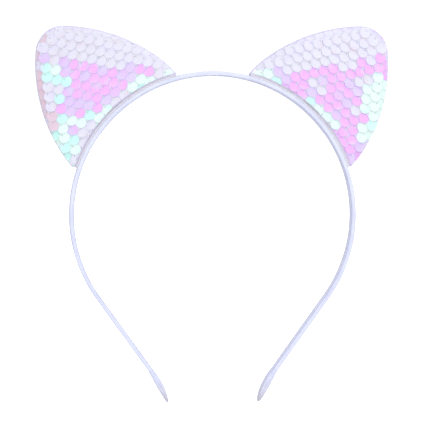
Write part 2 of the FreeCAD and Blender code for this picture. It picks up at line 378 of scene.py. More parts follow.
def grid_faces(rows, columns, closed=False, flip=False):
    """Quads of a rows x columns grid; closed joins the last column to the first."""
    faces = []
    for i in range(rows - 1):
        for j in range(columns if closed else columns - 1):
            k = (j + 1) % columns
            quad = (i * columns + j, i * columns + k, (i + 1) * columns + k, (i + 1) * columns + j)
            faces.append(quad[::-1] if flip else quad)
    return faces


def rounded_ring(half_y, shallow, deep, corner, crown=0.0, corner_steps=5, face_steps=10):
    """Closed section ring as (depth, y) pairs starting at the middle of the deep face."""
    corner = min(corner, half_y * 0.98, (deep - shallow) * 0.49)
    ring = []
    middle = (shallow + deep) / 2

    def arc(centre_depth, centre_y, start):
        for index in range(corner_steps + 1):
            angle = start + math.pi / 2 * index / corner_steps
            ring.append((centre_depth + corner * math.cos(angle), centre_y + corner * math.sin(angle)))

    def face(depth, sign, start_y, end_y, steps):
        for index in range(1, steps):
            y = start_y + (end_y - start_y) * index / steps
            bulge = crown * (1 - (y / half_y) ** 2)
            ring.append((depth + sign * bulge, y))

    ring.append((deep + crown, 0.0))
    face(deep, 1, 0.0, half_y - corner, face_steps // 2)
    arc(deep - corner, half_y - corner, 0.0)
    ring.append((middle, half_y))
    arc(shallow + corner, half_y - corner, math.pi / 2)
    face(shallow, -1, half_y - corner, corner - half_y, face_steps)
    arc(shallow + corner, corner - half_y, math.pi)
    ring.append((middle, -half_y))
    arc(deep - corner, corner - half_y, math.pi * 1.5)
    face(deep, 1, corner - half_y, 0.0, face_steps // 2)
    ring.append((deep + crown, 0.0))
    return np.array(ring)


def tip_half_width(z, growth):
    """Half the band's width in side view at height z, with its taper and round end."""
    full = BAND_WIDTH / 2 + growth
    tip = TIP_WIDTH / 2 + growth
    low = TIP_Z - growth + tip
    if z >= TAPER_START_Z:
        return full
    if z >= low:
        return tip + (full - tip) * (z - low) / (TAPER_START_Z - low)
    return math.sqrt(max(tip * tip - (low - z) ** 2, 0.0))


def sweep_band(name, side, slot, ring_at, low_z=LINING_END_Z, high_z=HOOP_RADIUS, step=0.9, wave=None):
    """Sweeps a section ring along one side of the band; ring_at(z) returns (depth, y) pairs."""
    path = band_stations(step)
    path = path[(path[:, 1] >= low_z) & (path[:, 1] <= high_z)]
    vertices, along, across = [], [], []
    for x, z, heading, run in path:
        ring = ring_at(z)
        depth = ring[:, 0] + (wave(run, ring) if wave else 0.0)
        ring_x = side * (x - depth * math.sin(heading))
        vertices.append(np.c_[ring_x, ring[:, 1], z - depth * math.cos(heading)])
        along.append(np.full(len(ring), run))
        across.append(run_lengths(ring))
    columns = len(vertices[0])
    faces = grid_faces(len(vertices), columns, flip=side < 0)
    vertices = np.vstack(vertices)
    end = len(vertices)
    last = list(range(end - columns, end))
    vertices = np.vstack([vertices, vertices[last].mean(axis=0)])
    for a, b in zip(last, last[1:]):
        faces.append((a, b, end) if side > 0 else (b, a, end))
    along = np.append(np.concatenate(along), along[-1][0])
    across = np.append(np.concatenate(across), 0.0)
    return make_mesh(name, vertices, faces, MATERIALS[slot], {"along": along, "across": across})


def flexes(piece, side_name, part):
    """A band piece, with its transform baked in, that runs from the crown down the arm and stands for a part
    of both.
    """
    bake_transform(piece)
    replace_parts(piece, "crown_" + part, side_name + "_arm_" + part)


def rides(piece, body, node):
    """A piece that rides one body and stands for one CAD node."""
    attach(piece, body)
    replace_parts(piece, node)


# ---- materials

class Shader:
    """A short way to write a node material."""

    def __init__(self, name):
        self.material = bpy.data.materials.new(name)
        self.material.use_nodes = True
        self.tree = self.material.node_tree
        self.principled = self.tree.nodes["Principled BSDF"]

    def node(self, kind, inputs=None, **settings):
        made = self.tree.nodes.new("ShaderNode" + kind)
        for key, value in settings.items():
            setattr(made, key, value)
        for key, value in (inputs or {}).items():
            self.feed(made.inputs[key], value)
        return made

    def feed(self, socket, value):
        if isinstance(value, bpy.types.NodeSocket):
            self.tree.links.new(value, socket)
        else:
            socket.default_value = value

    def set(self, **inputs):
        for key, value in inputs.items():
            self.feed(self.principled.inputs[key.replace("_", " ")], value)

    def math(self, operation, a, b=0.0, clamp=False):
        made = self.node("Math", {0: a, 1: b}, operation=operation, use_clamp=clamp)
        return made.outputs[0]

    def times(self, a, b):
        return self.math("MULTIPLY", a, b)

    def plus(self, a, b):
        return self.math("ADD", a, b)

    def tones(self, factor, *stops):
        """Colour ramp from stops of position, red, green and blue."""
        return self.ramp(factor, [(stop[0], srgb(*stop[1:])) for stop in stops])

    def remap(self, value, **limits):
        inputs = {key.replace("_", " "): limit for key, limit in limits.items()}
        return self.node("MapRange", {"Value": value, **inputs}).outputs[0]

    def attribute(self, name):
        return self.node("Attribute", attribute_name=name).outputs["Fac"]

    def scaled_position(self, scale=(1, 1, 1)):
        coordinates = self.node("TexCoord").outputs["Object"]
        return self.node("Mapping", {"Vector": coordinates, "Scale": scale}).outputs[0]

    def run_position(self, along_scale, across_scale):
        """Texture vector from the sweep's own run and width, both in mm."""
        along = self.times(self.attribute("along"), along_scale)
        across = self.times(self.attribute("across"), across_scale)
        return self.node("CombineXYZ", {0: along, 1: across}).outputs[0]

    def noise(self, vector, scale, detail=3.0, roughness=0.55):
        inputs = {"Vector": vector, "Scale": scale, "Detail": detail, "Roughness": roughness}
        return self.node("TexNoise", inputs).outputs["Fac"]

    def ramp(self, factor, stops):
        made = self.node("ValToRGB", {0: factor})
        elements = made.color_ramp.elements
        while len(elements) < len(stops):
            elements.new(0.5)
        for element, (position, colour) in zip(elements, stops):
            element.position = position
            element.color = colour
        return made.outputs["Color"]

    def mix(self, factor, a, b):
        made = self.node("Mix", data_type="RGBA")
        self.feed(made.inputs["Factor"], factor)
        self.feed(made.inputs["A"], a)
        self.feed(made.inputs["B"], b)
        return made.outputs["Result"]

    def bump(self, height, strength, distance_mm, below=None):
        inputs = {"Height": height, "Strength": strength, "Distance": distance_mm * MM}
        if below is not None:
            inputs["Normal"] = below
        return self.node("Bump", inputs).outputs[0]

    def let_light_through(self, share, colour):
        """Shows the principled surface mixed with light that passes through a thin sheet."""
        through = self.node("BsdfTranslucent", {"Color": colour})
        both = self.node("MixShader", {0: share, 1: self.principled.outputs[0], 2: through.outputs[0]})
        veil = self.node("BsdfTransparent", {"Color": (0.7, 0.7, 0.7, 1.0)})
        lamp_ray = self.node("LightPath").outputs["Is Shadow Ray"]
        shown = self.node("MixShader", {0: lamp_ray, 1: both.outputs[0], 2: veil.outputs[0]})
        self.tree.links.new(shown.outputs[0], self.tree.nodes["Material Output"].inputs["Surface"])

    def ridges(self, value, pitch):
        """Rounded ridges with this pitch along a mm value."""
        turns = self.times(value, 2 * math.pi / pitch)
        return self.math("ABSOLUTE", self.math("SINE", self.times(turns, 0.5)))


MATERIALS = {}


def wears(name):
    """Makes the named material with the function below it and keeps it in MATERIALS."""
    def make(recipe):
        shader = Shader(name)
        recipe(shader)
        MATERIALS[name] = shader.material
        return recipe
    return make


@wears("satin_ribbon")
def satin_material(s):
    """Warp-faced satin ribbon: long streaks, fine weave, a sheen across the ribbon."""
    streaks = s.noise(s.run_position(0.05, 1.6), 1.0, 4.0)
    soft = s.noise(s.run_position(0.12, 0.25), 1.0, 2.0)
    shade = s.plus(s.times(streaks, 0.6), s.times(soft, 0.4))
    colour = s.tones(shade, (0.3, 199, 202, 228), (0.5, 213, 217, 242), (0.75, 226, 231, 252))
    weave = s.ridges(s.attribute("across"), 0.16)
    floats = s.noise(s.run_position(1.1, 6.0), 1.0, 2.0)
    normal = s.bump(weave, 0.12, 0.02)
    normal = s.bump(floats, 0.25, 0.03, normal)
    normal = s.bump(streaks, 0.35, 0.10, normal)
    s.set(Base_Color=colour, Roughness=0.42, Sheen_Weight=0.35, Sheen_Roughness=0.35,
          Sheen_Tint=srgb(225, 225, 255), Anisotropic=0.5, Specular_IOR_Level=0.35, Normal=normal)


@wears("lining_ribbon")
def grosgrain_material(s):
    """Ribbed lining ribbon, with painted shade in the valleys between the ribs and in faint wrinkles."""
    ribs = s.ridges(s.attribute("along"), 0.55)
    fuzz = s.noise(s.run_position(2.0, 2.0), 1.0, 4.0)
    wrinkle = s.noise(s.run_position(0.8, 0.12), 1.0, 3.0, 0.6)
    colour = s.tones(fuzz, (0.3, 206, 210, 238), (0.7, 230, 233, 254))
    # painted shade: the valleys between the ribs are darkened
    colour = s.mix(s.times(s.math("SUBTRACT", 1.0, ribs), 0.25), colour, srgb(180, 183, 212))
    # painted shade: faint crosswise wrinkles are darkened
    wrinkle_shade = s.remap(wrinkle, From_Min=0.36, From_Max=0.24)
    colour = s.mix(s.times(wrinkle_shade, 0.5), colour, srgb(160, 162, 190))
    normal = s.bump(fuzz, 0.2, 0.04, s.bump(ribs, 0.7, 0.12))
    s.set(Base_Color=colour, Roughness=0.72, Sheen_Weight=0.2, Normal=normal)


@wears("tip_cap")
def tip_material(s):
    """Ribbon end folded and glued over the tip: creased, and greyer towards the end as painted shade at the
    fold.
    """
    crease = s.noise(s.run_position(0.35, 1.2), 1.0, 5.0, 0.6)
    height = s.node("SeparateXYZ", {0: s.scaled_position()}).outputs["Z"]
    # painted shade: the cap turns greyer from above the fold down to the tip
    end = s.remap(height, From_Min=(CAP_TOP_Z - 3.0) * MM, From_Max=TIP_Z * MM)
    plain_cap_tones = s.tones(crease, (0.3, 196, 198, 224), (0.55, 210, 214, 238), (0.8, 222, 226, 247))
    shaded_end_tones = s.tones(crease, (0.3, 184, 182, 200), (0.6, 206, 204, 218), (0.8, 220, 216, 224))
    weave = s.ridges(s.attribute("across"), 0.2)
    normal = s.bump(weave, 0.15, 0.03, s.bump(crease, 0.6, 0.22))
    s.set(Base_Color=s.mix(end, plain_cap_tones, shaded_end_tones), Roughness=0.5, Sheen_Weight=0.3,
          Sheen_Tint=srgb(225, 225, 255), Normal=normal)


@wears("hoop_core")
def core_material(s):
    """Moulded plastic hoop: faint flow marks and scuffs."""
    flow = s.noise(s.run_position(0.08, 0.9), 1.0, 4.0)
    grain = s.noise(s.scaled_position(), 2600.0, 3.0)
    colour = s.tones(flow, (0.3, 222, 222, 226), (0.7, 240, 240, 244))
    rough = s.plus(s.times(grain, 0.2), 0.35)
    s.set(Base_Color=colour, Roughness=rough, Normal=s.bump(grain, 0.15, 0.03))


@wears("ear_foam")
def foam_material(s):
    """Open-cell foam."""
    cells = s.node("TexVoronoi", {"Vector": s.scaled_position(), "Scale": 1500.0}).outputs["Distance"]
    colour = s.tones(cells, (0.1, 206, 204, 208), (0.6, 242, 241, 244))
    s.set(Base_Color=colour, Roughness=0.95, Normal=s.bump(cells, 0.9, 0.25))


@wears("sequin_backing")
def knit_material(s):
    """Fine knit the sequins are sewn on: two crossing sets of ridges with a little fuzz; painted shade turns
    it grey near the band, and a painted glow lightens the shade between the discs.
    """
    along = s.ridges(s.attribute("along"), 0.42)
    across = s.ridges(s.attribute("across"), 0.34)
    loops = s.times(along, across)
    fuzz = s.noise(s.scaled_position(), 1400.0, 4.0)
    shade = s.plus(s.times(loops, 0.6), s.times(fuzz, 0.4))
    colour = s.tones(shade, (0.15, 222, 219, 232), (0.5, 238, 236, 246), (0.8, 248, 247, 253))
    # painted shade: within about 2.6 mm of the band the cloth is mixed to grey, standing for the shade under
    # the discs at the ear's base
    clear = s.remap(s.attribute("over_band"), From_Min=1.2, From_Max=2.6)
    colour = s.mix(clear, srgb(186, 182, 200), colour)
    normal = s.bump(fuzz, 0.3, 0.05, s.bump(loops, 0.8, 0.12))
    # painted light: the cloth glows, more strongly near the band, to lighten the shade between and under the
    # discs
    painted_glow = s.remap(clear, To_Min=0.37, To_Max=0.25)
    s.set(Base_Color=colour, Roughness=0.85, Sheen_Weight=0.3, Normal=normal,
          Emission_Color=srgb(240, 236, 250), Emission_Strength=painted_glow)


@wears("back_cloth")
def felt_material(s):
    """Brushed back cloth of the ear: matted fibres, soft mottling and a faint painted glow."""
    position = s.scaled_position()
    fibres = s.noise(s.scaled_position((1, 1, 3)), 1800.0, 5.0, 0.7)
    mottle = s.noise(position, 90.0, 3.0)
    shade = s.plus(s.times(fibres, 0.65), s.times(mottle, 0.35))
    colour = s.tones(shade, (0.3, 206, 204, 232), (0.5, 226, 225, 246), (0.7, 244, 243, 254))
    normal = s.bump(fibres, 0.7, 0.25)
    # painted light: a faint glow brightens the whole back cloth
    s.set(Base_Color=colour, Roughness=0.92, Sheen_Weight=0.5, Sheen_Roughness=0.6, Normal=normal,
          Emission_Color=srgb(232, 231, 250), Emission_Strength=0.08)


@wears("piping")
def piping_material(s):
    """Folded edge binding with a row of small slanted stitches."""
    weave = s.ridges(s.attribute("across"), 0.2)
    slanted = s.plus(s.attribute("along"), s.times(s.attribute("across"), 0.35))
    stitch = s.ridges(slanted, 1.4)
    fuzz = s.noise(s.run_position(2.5, 2.5), 1.0, 3.0)
    colour = s.tones(fuzz, (0.3, 200, 198, 230), (0.7, 224, 224, 248))
    colour = s.mix(s.times(s.math("SUBTRACT", 1.0, stitch), 0.3), colour, srgb(178, 176, 212))
    normal = s.bump(weave, 0.3, 0.05, s.bump(stitch, 0.5, 0.15))
    s.set(Base_Color=colour, Roughness=0.7, Sheen_Weight=0.3, Normal=normal)


@wears("base_tape")
def tape_material(s):
    """Plain-woven base tape, greyish as painted shade of the ear's base, lightened by a painted glow."""
    weave = s.times(s.ridges(s.attribute("along"), 0.5), s.ridges(s.attribute("across"), 0.5))
    fuzz = s.noise(s.run_position(1.5, 1.5), 1.0, 4.0)
    # painted shade: the grey tones stand for the shade where the ear meets the band
    colour = s.tones(fuzz, (0.3, 186, 183, 198), (0.7, 206, 204, 216))
    # painted light: the tape glows to lighten that shade
    s.set(Base_Color=colour, Roughness=0.85, Normal=s.bump(weave, 0.7, 0.12),
          Emission_Color=srgb(214, 212, 228), Emission_Strength=0.25)


@wears("glue")
def glue_material(s):
    """Cured hot glue: milky, wavy, a little see-through."""
    wave = s.noise(s.run_position(0.5, 0.9), 1.0, 3.0)
    colour = s.tones(wave, (0.3, 222, 218, 214), (0.7, 240, 237, 234))
    s.set(Base_Color=colour, Roughness=0.28, Subsurface_Weight=0.2,
          Subsurface_Radius=(0.002, 0.0018, 0.0015), Normal=s.bump(wave, 0.6, 0.3))


@wears("thread")
def thread_material(s):
    """Two-ply sewing thread, pale grey-green, with a painted glow."""
    wound = s.plus(s.attribute("along"), s.times(s.attribute("across"), 1.2))
    twist = s.ridges(wound, 0.35)
    colour = s.mix(twist, srgb(206, 218, 214), srgb(232, 242, 238))
    # painted light: the thread glows to lighten it in the shade under the discs
    s.set(Base_Color=colour, Roughness=0.6, Sheen_Weight=0.2, Normal=s.bump(twist, 0.8, 0.05),
          Emission_Color=srgb(226, 240, 234), Emission_Strength=0.25)


@wears("sequin")
def sequin_material(s):
    """Iridescent film: the colour runs with each disc's own phase and with the viewing angle."""
    geometry = s.node("NewGeometry")
    facing = s.node("VectorMath", {0: geometry.outputs["Normal"], 1: geometry.outputs["Incoming"]},
                    operation="DOT_PRODUCT").outputs["Value"]
    slant = s.math("SUBTRACT", 1.0, s.math("ABSOLUTE", facing), clamp=True)
    swing = s.times(s.times(slant, slant), 0.9)
    grain = s.noise(s.scaled_position(), 900.0, 2.0)
    flutter = s.times(s.math("SUBTRACT", grain, 0.5), 0.05)
    phase = s.plus(s.plus(s.attribute("phase"), swing), flutter)
    phase = s.math("PINGPONG", phase, 1.0)
    colour = s.ramp(phase, (
        (ROSY, srgb(226, 200, 214)), (PEARL, srgb(227, 226, 240)), (LILAC, srgb(220, 203, 250)),
        (PINK, srgb(241, 182, 249)), (MINT, srgb(203, 249, 242)), (ICE, srgb(230, 248, 243))))
    reverse = s.tones(phase, (0.2, 226, 228, 238), (0.6, 238, 240, 246), (0.9, 226, 240, 240))
    colour = s.mix(s.attribute("front"), reverse, colour)
    # painted shade: the outermost rim of every disc is mixed towards dark lilac, standing for the shade where
    # the discs overlap
    edge = s.math("POWER", s.attribute("rim"), 16.0)
    colour = s.mix(s.times(edge, 0.14), colour, srgb(190, 184, 214))
    thickness = s.plus(s.times(s.attribute("phase"), 260.0), 320.0)
    s.set(Base_Color=colour, Roughness=0.34, Specular_IOR_Level=0.4, Coat_Weight=0.15, Coat_Roughness=0.2,
          Thin_Film_Thickness=thickness, Thin_Film_IOR=1.4, Normal=s.bump(grain, 0.1, 0.03))
    s.let_light_through(0.15, colour)


# ---- band pieces

def build_satin(side_name):
    """Ribbon wrapped round the core from the crown to the tip fold."""
    side = SIDES[side_name]

    def satin_ring(z):
        return rounded_ring(tip_half_width(z, 0.0), 0.0, BAND_THICKNESS, BAND_CORNER)

    def satin_wave(run, ring):
        """The ribbon lies a little unevenly over the core."""
        return SATIN_WAVE * math.sin(run * 0.31 + 1.3 * side) * np.cos(ring[:, 1] * 0.5)

    satin = sweep_band(side_name + "_satin", side, "satin_ribbon", satin_ring, wave=satin_wave)
    flexes(satin, side_name, "satin_wrap")


def build_core(side_name):
    """Moulded hoop inside the ribbon."""
    def core_ring(z):
        half = max(tip_half_width(z, -SATIN_WALL), 0.1)
        return rounded_ring(half, SATIN_WALL, BAND_THICKNESS - SATIN_WALL, CORE_CORNER)

    core = sweep_band(side_name + "_core", SIDES[side_name], "hoop_core", core_ring)
    flexes(core, side_name, "core")


def build_lining(side_name):
    """Ribbed ribbon glued to the band's inner face."""
    def lining_ring(z):
        half = min(LINING_WIDTH / 2, tip_half_width(z, -LINING_MARGIN))
        low, high = BAND_THICKNESS + LINING_LOW, BAND_THICKNESS + LINING_HIGH
        return rounded_ring(half, low, high, LINING_CORNER, face_steps=12)

    lining = sweep_band(side_name + "_lining", SIDES[side_name], "lining_ribbon", lining_ring,
                        low_z=LINING_END_Z + 1.0, step=0.6)
    flexes(lining, side_name, "lining")


def build_tip_fold(side_name):
    """Ribbon end folded over the tip of the band."""
    def cap_ring(z):
        """Starts flush with the ribbon, swells over the fold and thins to the tip."""
        share = (CAP_TOP_Z - z) / (CAP_TOP_Z - TIP_Z)
        swell = math.sin(math.pi * min(share, 1.0))
        half = max(tip_half_width(z, FOLD_GROWTH * min(1.0, 0.1 + share * 2.5)), 0.15)
        round_off = min(1.0, half / (TIP_WIDTH / 2)) ** 0.7
        thick = (BAND_THICKNESS + 0.3 + 1.25 * swell - 1.2 * share) / 2 * round_off
        middle = (BAND_THICKNESS + 0.2) / 2
        return rounded_ring(half, middle - thick, middle + thick, BAND_CORNER * round_off, CAP_CROWN)

    def cap_wave(run, ring):
        """Creases where the ribbon end is folded round the tip."""
        return CAP_CREASE * np.sin(ring[:, 1] * 2.6 + run * 1.7) * np.sin(run * 0.9)

    cap = sweep_band(side_name + "_tip_fold", SIDES[side_name], "tip_cap", cap_ring,
                     low_z=TIP_Z - FOLD_GROWTH, high_z=CAP_TOP_Z, step=0.3, wave=cap_wave)
    rides(cap, side_name + "_arm", side_name + "_tip_cap")


# ---- ear body

def base_height(u):
    """Height v of the ear's base over the band, at each place u along the chord."""
    v = np.linspace(-14.0, 16.0, 121)
    return np.array([np.interp(BASE_GAP, over_band(place, v), v) for place in u])


BASE_U = np.linspace(-33.0, 33.0, 67)
BASE_V = base_height(BASE_U)


def ear_grid(inset):
    """Grid of (u, v) covering the ear: rows run from the base curve up to the outline."""
    corner = BASE_CORNER - inset
    u_base = np.linspace(-corner, corner, EAR_COLUMNS)
    v_base = np.interp(u_base, BASE_U, BASE_V)
    edge = WHOLE_EDGE[WHOLE_EDGE[:, 1] >= v_base[0]]
    lengths = run_lengths(edge)
    places = np.linspace(0, lengths[-1], EAR_COLUMNS)
    u_top = np.interp(places, lengths, edge[:, 0]) * (1 - inset / WIDEST_HALF)
    v_top = np.interp(places, lengths, edge[:, 1]) * ((EAR_HEIGHT - inset) / EAR_HEIGHT)
    share = np.linspace(0, 1, EAR_ROWS)[:, None] ** 0.9
    return u_base + (u_top - u_base) * share, v_base + (v_top - v_base) * share


def closed_sheet_faces(flip):
    """Faces of two grids of the ear back to back, joined round their border."""
    faces = grid_faces(EAR_ROWS, EAR_COLUMNS, flip=flip)
    count = EAR_ROWS * EAR_COLUMNS
    faces += [tuple(index + count for index in quad[::-1]) for quad in faces]
    border = list(range(EAR_COLUMNS))
    border += [row * EAR_COLUMNS + EAR_COLUMNS - 1 for row in range(1, EAR_ROWS)]
    border += [(EAR_ROWS - 1) * EAR_COLUMNS + column for column in range(EAR_COLUMNS - 2, -1, -1)]
    border += [row * EAR_COLUMNS for row in range(EAR_ROWS - 2, 0, -1)]
    for a, b in zip(border, border[1:] + border[:1]):
        quad = (a, b, b + count, a + count)
        faces.append(quad if flip else quad[::-1])
    return faces


def pad_depth(outward, u, v):
    """Plain depth of the foam's front (outward -1) or back (outward 1) face."""
    circle = FRONT_DOME if outward < 0 else BACK_DOME
    return dome_depth(circle, v) - roll_off(u, v)


def pad_mesh():
    """The foam as cut: a closed shape in the ear's own frame, remeshed evenly, in PAD_SCALE units."""
    u, v = ear_grid(PAD_INSET)
    layers = [np.stack([u, outward * pad_depth(outward, u, v), v], axis=-1).reshape(-1, 3)
              for outward in (-1, 1)]
    vertices = np.vstack(layers) * PAD_SCALE
    pad = make_mesh("pad", vertices, closed_sheet_faces(True), MATERIALS["ear_foam"])
    remesh = pad.modifiers.new("even", "REMESH")
    remesh.mode = "VOXEL"
    remesh.voxel_size = PAD_VOXEL * PAD_SCALE * MM
    return pad


def settled_mesh(piece):
    """The piece's mesh with its modifiers applied, as vertices in mm of the ear's frame and faces."""
    bpy.context.view_layer.update()
    shaped = piece.evaluated_get(bpy.context.evaluated_depsgraph_get()).to_mesh()
    points = np.empty(len(shaped.vertices) * 3)
    shaped.vertices.foreach_get("co", points)
    faces = [tuple(face.vertices) for face in shaped.polygons]
    return points.reshape(-1, 3) / (PAD_SCALE * MM), faces


def swollen_pad():
    """The foam after cloth pressure has filled it out against its sewn border."""
    pad = pad_mesh()
    start, faces = settled_mesh(pad)
    bpy.data.objects.remove(pad)
    pad = make_mesh("pad", start * PAD_SCALE, faces, MATERIALS["ear_foam"])
    low = np.interp(start[:, 0], BASE_U, BASE_V)
    to_border = np.minimum(edge_distance(start[:, 0], start[:, 2]), start[:, 2] - low)
    held = pad.vertex_groups.new(name="held")
    held.add([int(index) for index in np.nonzero(to_border < PAD_INSET + PAD_VOXEL)[0]], 1.0, "REPLACE")
    cloth = pad.modifiers.new("swell", "CLOTH")
    cloth.settings.use_pressure = True
    cloth.settings.uniform_pressure_force = PAD_PRESSURE
    cloth.settings.effector_weights.gravity = 0.0
    cloth.settings.vertex_group_mass = "held"
    cloth.settings.shrink_min = -PAD_GROWTH
    cloth.settings.quality = 6
    scene = bpy.context.scene
    for frame_number in range(1, PAD_FRAMES + 1):
        scene.frame_set(frame_number)
    end, _ = settled_mesh(pad)
    scene.frame_set(1)
    bpy.data.objects.remove(pad)
    outward = np.where(start[:, 1] < 0, -1, 1)
    rise = (end[:, 1] - start[:, 1]) * outward
    front, back = np.clip(rise, *SWELL[-1]), np.clip(rise, *SWELL[1])
    moved = start.copy()
    moved[:, 1] += outward * np.where(outward < 0, front, back)
    return moved, faces


PAD = swollen_pad()
PAD_TREE = BVHTree.FromPolygons([Vector(point) for point in PAD[0]], PAD[1])


def pad_surface(outward, u, v):
    """Depth of the swollen pad under each place, or the plain depth where the pad doesn't reach."""
    depth = pad_depth(outward, u, v)
    far = 20.0
    for index in np.ndindex(u.shape):
        start = Vector((u[index], outward * far, v[index]))
        hit = PAD_TREE.ray_cast(start, Vector((0.0, -outward, 0.0)))[0]
        if hit is not None and hit.y * outward > 0:
            depth[index] = hit.y * outward
    return depth


def puckers(u, v):
    """Small folds where the seam gathers the cloth, fading away from the edge."""
    round_edge = np.arctan2(u, v - PUCKER_CENTRE_V)
    folds = np.sin(round_edge * 52.0 + 1.5 * np.sin(round_edge * 9.0))
    return PUCKER_DEPTH * folds * np.exp(-edge_distance(u, v) / PUCKER_FADE)


def ear_sheet(name, side, slot, outward, shape=None):
    """A cloth sheet over one face of the swollen pad; outward is -1 for the front, 1 for the back."""
    u, v = ear_grid(SHEET_INSET)
    depth = pad_surface(outward, u, v) + CLOTH
    if shape is not None:
        depth = depth + shape(u, v)
    x, _, z = ear_to_world(side, u, 0.0, v)
    y = EAR_SEAT[1] + outward * depth
    outer = np.stack([x, y, z], axis=-1).reshape(-1, 3)
    inner = np.stack([x, y - outward * SHEET_THICKNESS, z], axis=-1).reshape(-1, 3)
    gap = height_over_band(x, z)
    attributes = {"along": np.tile(v.reshape(-1), 2), "across": np.tile(u.reshape(-1), 2),
                  "over_band": np.tile(gap.reshape(-1), 2)}
    faces = closed_sheet_faces((side * outward) > 0)
    return make_mesh(name, np.vstack([outer, inner]), faces, MATERIALS[slot], attributes)


def build_ear_body(side_name):
    """Foam pad with its front and back cloth."""
    side = SIDES[side_name]
    points, faces = PAD
    place = np.c_[ear_to_world(side, points[:, 0], points[:, 1], points[:, 2])]
    foam = make_mesh(side_name + "_foam", place, [face[::side] for face in faces], MATERIALS["ear_foam"])
    rides(foam, "crown", side_name + "_foam_pad")
    front = ear_sheet(side_name + "_backing_cloth", side, "sequin_backing", -1)
    rides(front, "crown", side_name + "_front_cloth")
    back = ear_sheet(side_name + "_back_felt", side, "back_cloth", 1, puckers)
    rides(back, "crown", side_name + "_back_cloth")


def piping_path():
    """Places along the ear's free edge, with (u, v) and the inward direction at each."""
    edge = WHOLE_EDGE[WHOLE_EDGE[:, 1] >= np.interp(WHOLE_EDGE[:, 0], BASE_U, BASE_V)]
    lengths = run_lengths(edge)
    places = np.arange(0, lengths[-1], PIPING_STEP)
    path = np.c_[np.interp(places, lengths, edge[:, 0]), np.interp(places, lengths, edge[:, 1])]
    tangent = np.gradient(path, axis=0)
    tangent /= np.hypot(*tangent.T)[:, None]
    return places, path, np.c_[tangent[:, 1], -tangent[:, 0]]


def build_piping(side_name):
    """Rounded binding that closes the seam all round the ear's free edge."""
    side = SIDES[side_name]
    places, path, inwards = piping_path()
    vertices, along, across = [], [], []
    rise = CLOTH - ROLL_DEPTH + PIPING_RISE
    for (u, v), inward, place in zip(path, inwards, places):
        front, back = (float(dome_depth(circle, v)) + rise for circle in (FRONT_DOME, BACK_DOME))
        for index in range(PIPING_POINTS):
            angle = math.pi * index / (PIPING_POINTS - 1)
            depth = -math.cos(angle) * (front if angle < math.pi / 2 else back)
            sink = PIPING_SINK * (1 - math.sin(angle) ** 0.6) + PIPING_WAVE * math.sin(place * 4.5)
            vertices.append(ear_to_world(side, u + inward[0] * sink, depth, v + inward[1] * sink))
            along.append(place)
            across.append(index * PIPING_ACROSS)
    faces = grid_faces(len(places), PIPING_POINTS, flip=side > 0)
    piping = make_mesh(side_name + "_piping", vertices, faces, MATERIALS["piping"],
                       {"along": along, "across": across})
    thicken = piping.modifiers.new("cloth", "SOLIDIFY")
    thicken.thickness = PIPING_THICKNESS * MM
    thicken.offset = -1
    rides(piping, "crown", side_name + "_edge_piping")


def height_under(u):
    """Height z of the band's outer face nearest a place along the ear's base."""
    x, _, z = ear_to_world(1, u, 0.0, BASE_LEVEL)
    return OUTER_FACE[np.argmin((OUTER_FACE[:, 0] - x) ** 2 + (OUTER_FACE[:, 1] - z) ** 2), 1]


def build_strip(side_name, part, node, slot, low, high, half):
    """A strip between the ear and the band, from its low to its high side and this wide to each side."""

    def strip_ring(z):
        return rounded_ring(half, -high, -low, STRIP_CORNER, face_steps=12)

    strip = sweep_band(side_name + part, SIDES[side_name], slot, strip_ring,
                       low_z=height_under(BASE_HALF_LENGTH), high_z=height_under(-BASE_HALF_LENGTH), step=0.6)
    rides(strip, "crown", side_name + node)


# ---- sequins and thread

def row_frame(row, rise=HINGE_RISE):
    """Height angle and hinge point (y, v) of a row, row 1 nearest the tip."""
    y, v, radius = FRONT_DOME
    radius += CLOTH + rise
    angle = math.asin((FIRST_ROW_HEIGHT - v) / radius) - (row - 1) * ROW_SPACING / radius
    return angle, y - radius * math.cos(angle), v + radius * math.sin(angle)


def on_row(angle, hinge_y, hinge_v, b, c):
    """Place (y, v) of a point b along and c out from a row's hinge, turned by an angle."""
    y = hinge_y + b * np.sin(angle) - c * np.cos(angle)
    v = hinge_v + b * np.cos(angle) + c * np.sin(angle)
    return y, v


def chosen(pick, choices):
    """The film colour whose share of 0..1 holds this pick; shares are given as upper limits."""
    return next(value for limit, value in choices if pick <= limit)


